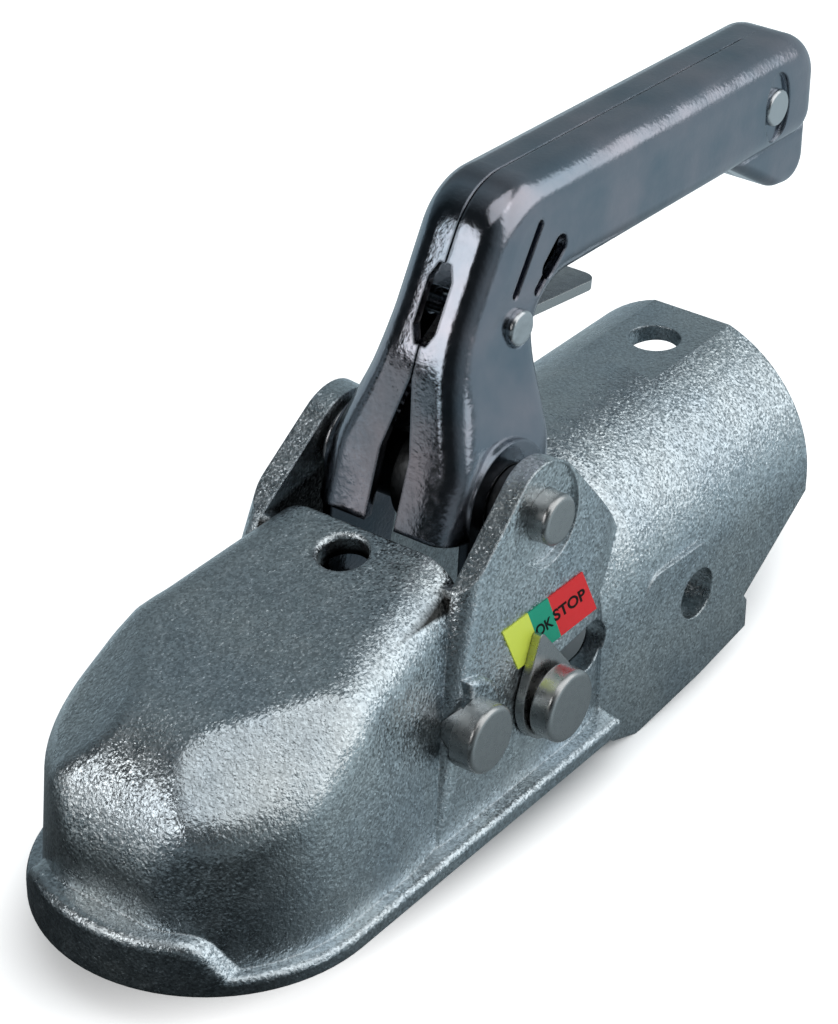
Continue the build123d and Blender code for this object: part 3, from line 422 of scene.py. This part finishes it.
# %% Dress the solids
dress = {
    forged_zinc: ["housing"],
    pressed_zinc: ["handle_left_shell", "handle_right_shell"],
    turned_steel: ["lever_pivot_pin", "jaw_pivot_pin", "slide_pin", "jaw_pin_ring", "slide_end_washer",
                   "indicator_pointer", "trigger"],
    bright_rivet: ["trigger_pin", "handle_rear_rivet"],
    inner_steel: ["catch_plate", "pivot_spacer_left", "pivot_spacer_right", "jaw_spacer_left",
                  "jaw_spacer_right", "pivot_bush_left", "pivot_bush_right", "spring_seat",
                  "locking_block", "closing_jaw"],
    spring_steel: ["trigger_spring", "lever_return_spring", "jaw_spring"],
    printed_film: ["indicator_label"],
}
for material, names in dress.items():
    for name in names:
        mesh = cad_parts[name].data
        mesh.materials.clear()
        mesh.materials.append(material)
print("dressed:", sum(len(names) for names in dress.values()))

# %% [markdown]
# The two pivot springs and the trigger's coil are wound wire. Each could be a curve with its own points, but
# a helix follows a rule, so a small geometry node tree makes all three: a spiral curve, a round profile swept
# along it, and a turn that lays its axis where it belongs. Its sizes are named inputs.

# %% Spring tree
POINTS_A_TURN = 40
WIRE_SIDES = 14


def wound_spring_tree():
    tree = bpy.data.node_groups.new("wound_spring", "GeometryNodeTree")
    for name in ("Wire radius", "Coil radius", "Turns", "Length"):
        tree.interface.new_socket(name=name, in_out="INPUT", socket_type="NodeSocketFloat")
    for name in ("Start", "Turn"):
        tree.interface.new_socket(name=name, in_out="INPUT", socket_type="NodeSocketVector")
    tree.interface.new_socket(name="Wire finish", in_out="INPUT", socket_type="NodeSocketMaterial")
    tree.interface.new_socket(name="Geometry", in_out="OUTPUT", socket_type="NodeSocketGeometry")
    given = tree.nodes.new("NodeGroupInput")
    spiral = tree.nodes.new("GeometryNodeCurveSpiral")
    spiral.inputs["Resolution"].default_value = POINTS_A_TURN
    profile = tree.nodes.new("GeometryNodeCurvePrimitiveCircle")
    profile.inputs["Resolution"].default_value = WIRE_SIDES
    swept = tree.nodes.new("GeometryNodeCurveToMesh")
    swept.inputs["Fill Caps"].default_value = True
    laid = tree.nodes.new("GeometryNodeTransform")
    smooth = tree.nodes.new("GeometryNodeSetShadeSmooth")
    real = tree.nodes.new("GeometryNodeRealizeInstances")
    dressed = tree.nodes.new("GeometryNodeSetMaterial")
    result = tree.nodes.new("NodeGroupOutput")
    link = tree.links.new
    link(given.outputs["Turns"], spiral.inputs["Rotations"])
    link(given.outputs["Coil radius"], spiral.inputs["Start Radius"])
    link(given.outputs["Coil radius"], spiral.inputs["End Radius"])
    link(given.outputs["Length"], spiral.inputs["Height"])
    link(given.outputs["Wire radius"], profile.inputs["Radius"])
    link(spiral.outputs["Curve"], swept.inputs["Curve"])
    link(profile.outputs["Curve"], swept.inputs["Profile Curve"])
    link(given.outputs["Start"], laid.inputs["Translation"])
    link(given.outputs["Turn"], laid.inputs["Rotation"])
    link(given.outputs["Wire finish"], dressed.inputs["Material"])
    link(swept.outputs["Mesh"], laid.inputs["Geometry"])
    for before, after in ((laid, smooth), (smooth, real), (real, dressed), (dressed, result)):
        link(before.outputs["Geometry"], after.inputs["Geometry"])
    return tree


spring_tree = wound_spring_tree()
print("spring tree:", len(spring_tree.nodes), "nodes")

# %% [markdown]
# A tree only grows on an object that carries it. A holder does that for a moment, its inputs are set by the
# sockets' identifiers, and the result is kept as a plain mesh. A live modifier would be shorter to write, but
# a finished piece is easier to hand on without one.


# %% Grow a piece from a tree
def set_input(modifier, tree, name, value):
    inputs = [item for item in tree.interface.items_tree if item.in_out == "INPUT"]
    socket = next(item for item in inputs if item.name == name)
    modifier[socket.identifier] = value


def plain_mesh(holder):
    graph = bpy.context.evaluated_depsgraph_get()
    mesh = bpy.data.meshes.new_from_object(holder.evaluated_get(graph))
    bpy.data.objects.remove(holder)
    return mesh


def grown(name, tree, values):
    holder = placed(name + "_tree", bpy.data.meshes.new(name + "_tree"))
    modifier = holder.modifiers.new("tree", "NODES")
    modifier.node_group = tree
    for key, value in values.items():
        set_input(modifier, tree, key, value)
    return placed(name, plain_mesh(holder))


print("inputs:", [item.name for item in spring_tree.interface.items_tree if item.in_out == "INPUT"])

# %% [markdown]
# The springs of the lever and the jaw lie round their pins, between the spacers. Their box in the solids gives
# the place, the length and the coil's radius, so they fit without a second set of sizes.

# %% Pivot springs
WIRE = 0.8 * MM
PITCH = 1.85 * MM
ALONG_PIN = (-math.pi / 2, 0, 0)
for solid, name in (("lever_return_spring", "lever_spring_wire"), ("jaw_spring", "jaw_spring_wire")):
    low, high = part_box(solid)
    coil_radius = (high.z - low.z) / 2 - WIRE
    length = high.y - low.y - 2 * WIRE
    piece = grown(name, spring_tree, {
        "Wire radius": WIRE,
        "Coil radius": coil_radius,
        "Turns": length / PITCH,
        "Length": length,
        "Start": ((low.x + high.x) / 2, low.y + WIRE, (low.z + high.z) / 2),
        "Turn": ALONG_PIN,
        "Wire finish": spring_steel,
    })
    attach(piece, "housing")
    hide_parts(solid)
    print(name, "faces", len(piece.data.polygons), "coil", round(coil_radius / MM, 2), "mm")

# %% [markdown]
# The trigger's coil stands on its seat in the lever, and shortens when the trigger's lug comes down on it. A
# rigid coil would cut into the lug; this one is grown at full length on its seat, hung on the lever's body and
# given a mesh of its own.

# %% Trigger coil
THIN_WIRE = 0.65 * MM
TRIGGER_TURNS = 4
low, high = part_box("trigger_spring")
seat = Vector(((low.x + high.x) / 2, (low.y + high.y) / 2, low.z))
trigger_coil = grown("trigger_coil_wire", spring_tree, {
    "Wire radius": THIN_WIRE,
    "Coil radius": (high.x - low.x) / 2 - THIN_WIRE,
    "Turns": TRIGGER_TURNS,
    "Length": high.z - low.z - 2 * THIN_WIRE,
    "Start": seat + Vector((0, 0, THIN_WIRE)),
    "Turn": (0, 0, 0),
    "Wire finish": spring_steel,
})
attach(trigger_coil, "lever")
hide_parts("trigger_spring")
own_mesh(trigger_coil)
print("trigger coil", round((high.z - low.z) / MM, 1), "mm tall")

# %% [markdown]
# Two plain words stand on the fields, one for locked and one for open. A pattern in the film's material
# could draw them, but letters are easier as text. They are thin prints, so each word is a text curve turned
# into a mesh and laid on the film's plane, which is measured from the solid.

# %% The film's plane
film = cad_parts["indicator_label"].data
FACING_OUT = 0.5
outer_faces = [polygon for polygon in film.polygons if polygon.normal.y > FACING_OUT]
face = max(outer_faces, key=lambda polygon: polygon.area)
film_point = film.vertices[face.vertices[0]].co.copy()
film_normal = face.normal.copy()


def on_film(x, z):
    slide = film_normal.x * (x - film_point.x) + film_normal.z * (z - film_point.z)
    return Vector((x, film_point.y - slide / film_normal.y, z))


print("film faces", [round(value, 3) for value in film_normal])

# %% Words on the film
TEXT_HALF = 0.02
TEXT_SWELL = 0.03
INK = 0.03 * MM
INK_LIFT = 0.016 * MM


def word(name, text, x, z, height, width):
    curve = bpy.data.curves.new(name, "FONT")
    curve.body = text
    curve.align_x = "CENTER"
    curve.align_y = "CENTER"
    curve.extrude = TEXT_HALF
    curve.offset = TEXT_SWELL
    mesh = plain_mesh(placed(name + "_curve", curve))
    xs = [vertex.co.x for vertex in mesh.vertices]
    ys = [vertex.co.y for vertex in mesh.vertices]
    middle = Vector(((min(xs) + max(xs)) / 2, (min(ys) + max(ys)) / 2, 0))
    mesh.transform(Matrix.Translation(-middle))
    size = (width / (max(xs) - min(xs)), height / (max(ys) - min(ys)), INK / (2 * TEXT_HALF))
    across = (on_film(x - 1 * MM, z) - on_film(x, z)).normalized()
    upward = (on_film(x + LABEL_LEAN * MM, z + 1 * MM) - on_film(x, z)).normalized()
    centre = on_film(x, z) + film_normal * INK_LIFT
    laid = Matrix((across * size[0], upward * size[1], film_normal * size[2])).transposed().to_4x4()
    mesh.transform(Matrix.Translation(centre) @ laid)
    mesh.materials.clear()
    mesh.materials.append(black_ink)
    piece = placed(name, mesh)
    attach(piece, "housing")
    print(name, "at", [round(value / MM, 1) for value in centre])


word("word_locked", "OK", x=-74.6 * MM, z=20.7 * MM, height=3.3 * MM, width=6.2 * MM)
word("word_open", "STOP", x=-84.4 * MM, z=21.3 * MM, height=3.5 * MM, width=12.4 * MM)

# %% [markdown]
# The part stands on a plain pale floor. Lit by the soft boxes alone, the floor would turn grey further out,
# so it glows outside the part's footprint, and inside that oval the part's own shadow stays.

# %% Floor
FLOOR_REACH = 12.0
FOOTPRINT_SHIFT = (0.60, 0.17, 0)
FOOTPRINT_SCALE = (6.5, 17, 0)
FLOOR_GLOW = 0.8
GLOW_STARTS, GLOW_FULL = 0.7, 0.95


def wide_plane(name, height):
    mesh = bpy.data.meshes.new(name)
    corners = ((-1, -1), (1, -1), (1, 1), (-1, 1))
    mesh.from_pydata([(x * FLOOR_REACH, y * FLOOR_REACH, height) for x, y in corners], [], [(0, 1, 2, 3)])
    return placed(name, mesh)


floor_height = cad_box[0][2]
floor = wide_plane("floor", floor_height)
pale_floor, shader = finish("pale_floor", (0.86, 0.86, 0.86), 0.0, 0.9)
shader.inputs["Emission Color"].default_value = (1, 1, 1, 1)
footprint = node(pale_floor, "ShaderNodeMapping", Location=FOOTPRINT_SHIFT, Scale=FOOTPRINT_SCALE)
feed(pale_floor, piece_place(pale_floor), footprint.inputs["Vector"])
outward = node(pale_floor, "ShaderNodeVectorMath", {"operation": "LENGTH"})
feed(pale_floor, footprint.outputs["Vector"], outward.inputs[0])
floor_glow = between(pale_floor, outward.outputs["Value"], 0.0, FLOOR_GLOW, GLOW_STARTS, GLOW_FULL)
feed(pale_floor, floor_glow, shader.inputs["Emission Strength"])
floor.data.materials.append(pale_floor)
floor.visible_glossy = False
print("floor at", round(floor_height / MM, 1), "mm")

# %% [markdown]
# Plating mirrors the floor as well. What it sees there is not the white of a cut-out picture but a table with
# a
# painted shadow: dark close to the part, darkest before the nose, and brighter further out. A second plane
# shows
# that to reflections alone: its glow grows with the distance from a box round the part's footprint.

# %% Floor as the plating sees it
PART_MIDDLE = -90 * MM
HALF_LENGTH = 130 * MM
HALF_WIDTH = 35 * MM
TABLE_GLOW = (0.16, 0.55, 0.0, 120 * MM)
GLOW_BEHIND_NOSE = (0.12, 1.0, 30 * MM, -50 * MM)
GLOW_FAR_AHEAD = (0.0, 0.45, 80 * MM, 200 * MM)

below = floor_height - 1 * MM
mirrored_floor = wide_plane("mirrored_floor", below)
table_glow, shader = finish("table_glow", (0, 0, 0), 0.0, 1.0)
shader.inputs["Specular IOR Level"].default_value = 0.0
shader.inputs["Emission Color"].default_value = (0.80, 0.98, 1.07, 1)
table = partial(reckon, table_glow)
spot = piece_axes(table_glow)
past_ends = table("SUBTRACT", table("ABSOLUTE", table("SUBTRACT", spot["X"], PART_MIDDLE)), HALF_LENGTH)
past_sides = table("SUBTRACT", table("ABSOLUTE", spot["Y"]), HALF_WIDTH)
squares = [table("POWER", table("MAXIMUM", past, 0.0), 2.0) for past in (past_ends, past_sides)]
away = table("SQRT", table("ADD", *squares))
behind_nose = between(table_glow, spot["X"], *GLOW_BEHIND_NOSE)
far_ahead = between(table_glow, spot["X"], *GLOW_FAR_AHEAD)
# painted shadow: the glow is lowered near the part and ahead of the nose
glow = table("MULTIPLY", between(table_glow, away, *TABLE_GLOW), table("MAXIMUM", behind_nose, far_ahead))
feed(table_glow, glow, shader.inputs["Emission Strength"])
mirrored_floor.data.materials.append(table_glow)
mirrored_floor.visible_camera = False
mirrored_floor.visible_diffuse = False
mirrored_floor.visible_shadow = False
print("mirrored floor at", round(below / MM, 1), "mm")

# %% [markdown]
# The room is grey, dark ahead of the nose and brighter behind the part, so that plating which faces no box
# still shows a run of tone. A picture of a room would do that too, but a colour ramp along one level
# direction is plain and easy to change. Each row is a place on the ramp, from ahead to behind, and its level.

# %% Room light
BEHIND_AZIMUTH = math.radians(165)
ROOM_TINT = (0.82, 1.0, 1.09)
ROOM_LEVELS = ((0.0, 0.02), (0.25, 0.03), (0.40, 0.16), (0.5, 0.26),
               (0.65, 0.17), (0.8, 0.30), (0.92, 0.42), (1.0, 0.5))

world = bpy.data.worlds.new("room")
world.use_nodes = True
scene.world = world
room = world.node_tree.nodes["Background"]
toward_rear = node(world, "ShaderNodeVectorMath", {"operation": "DOT_PRODUCT"})
toward_rear.inputs[1].default_value = (math.cos(BEHIND_AZIMUTH), math.sin(BEHIND_AZIMUTH), 0)
feed(world, node(world, "ShaderNodeTexCoord").outputs["Generated"], toward_rear.inputs[0])
ramp = node(world, "ShaderNodeValToRGB")
feed(world, between(world, toward_rear.outputs["Value"], 0.0, 1.0, -1.0, 1.0), ramp.inputs["Fac"])
stops = ramp.color_ramp.elements
for place, level in ROOM_LEVELS:
    if 0.0 < place < 1.0:
        stop = stops.new(place)
    else:
        stop = stops[-1 if place else 0]
    stop.color = (*[level * share for share in ROOM_TINT], 1)
feed(world, ramp.outputs["Color"], room.inputs["Color"])
room.inputs["Strength"].default_value = 1.0
print("room light:", len(stops), "levels")

# %% [markdown]
# The plating mirrors what stands around it, so the soft boxes stand where the photograph's bright patches
# ask for them: on the indicator side, overhead, to the left of the nose, and low on the left. Spot lights
# would leave hard points in the plating, and one big box would leave no dark bands to show the shape.

# %% Soft boxes
AIM = Vector((-0.06, 0.0, 0.03))


def soft_box(name, azimuth, elevation, distance, width, height, brightness):
    data = bpy.data.lights.new(name, "AREA")
    data.shape = "RECTANGLE"
    data.size = width
    data.size_y = height
    data.energy = brightness * math.pi * width * height
    around, up = math.radians(azimuth), math.radians(elevation)
    toward = Vector((math.cos(around) * math.cos(up), math.sin(around) * math.cos(up), math.sin(up)))
    light = placed(name, data)
    light.location = AIM + toward * distance
    light.rotation_euler = (-toward).to_track_quat("-Z", "Y").to_euler()
    print(name, [round(value, 2) for value in light.location])


soft_box("box_indicator_side", azimuth=117, elevation=34, distance=1.6, width=2.0, height=1.7, brightness=1.1)
soft_box("box_overhead", azimuth=60, elevation=77, distance=1.6, width=1.3, height=1.3, brightness=0.95)
soft_box("box_nose_left", azimuth=340, elevation=26, distance=1.7, width=1.15, height=0.8, brightness=2.3)
soft_box("box_low_left", azimuth=322, elevation=1, distance=1.7, width=1.3, height=0.36, brightness=0.5)

# %% [markdown]
# A film-like view turns white to grey and dulls the label. The part stands on plain white, so the colours
# are shown as they are.

# %% Colour management
scene.view_settings.view_transform = "Standard"
scene.view_settings.look = "None"
print("view:", scene.view_settings.view_transform)
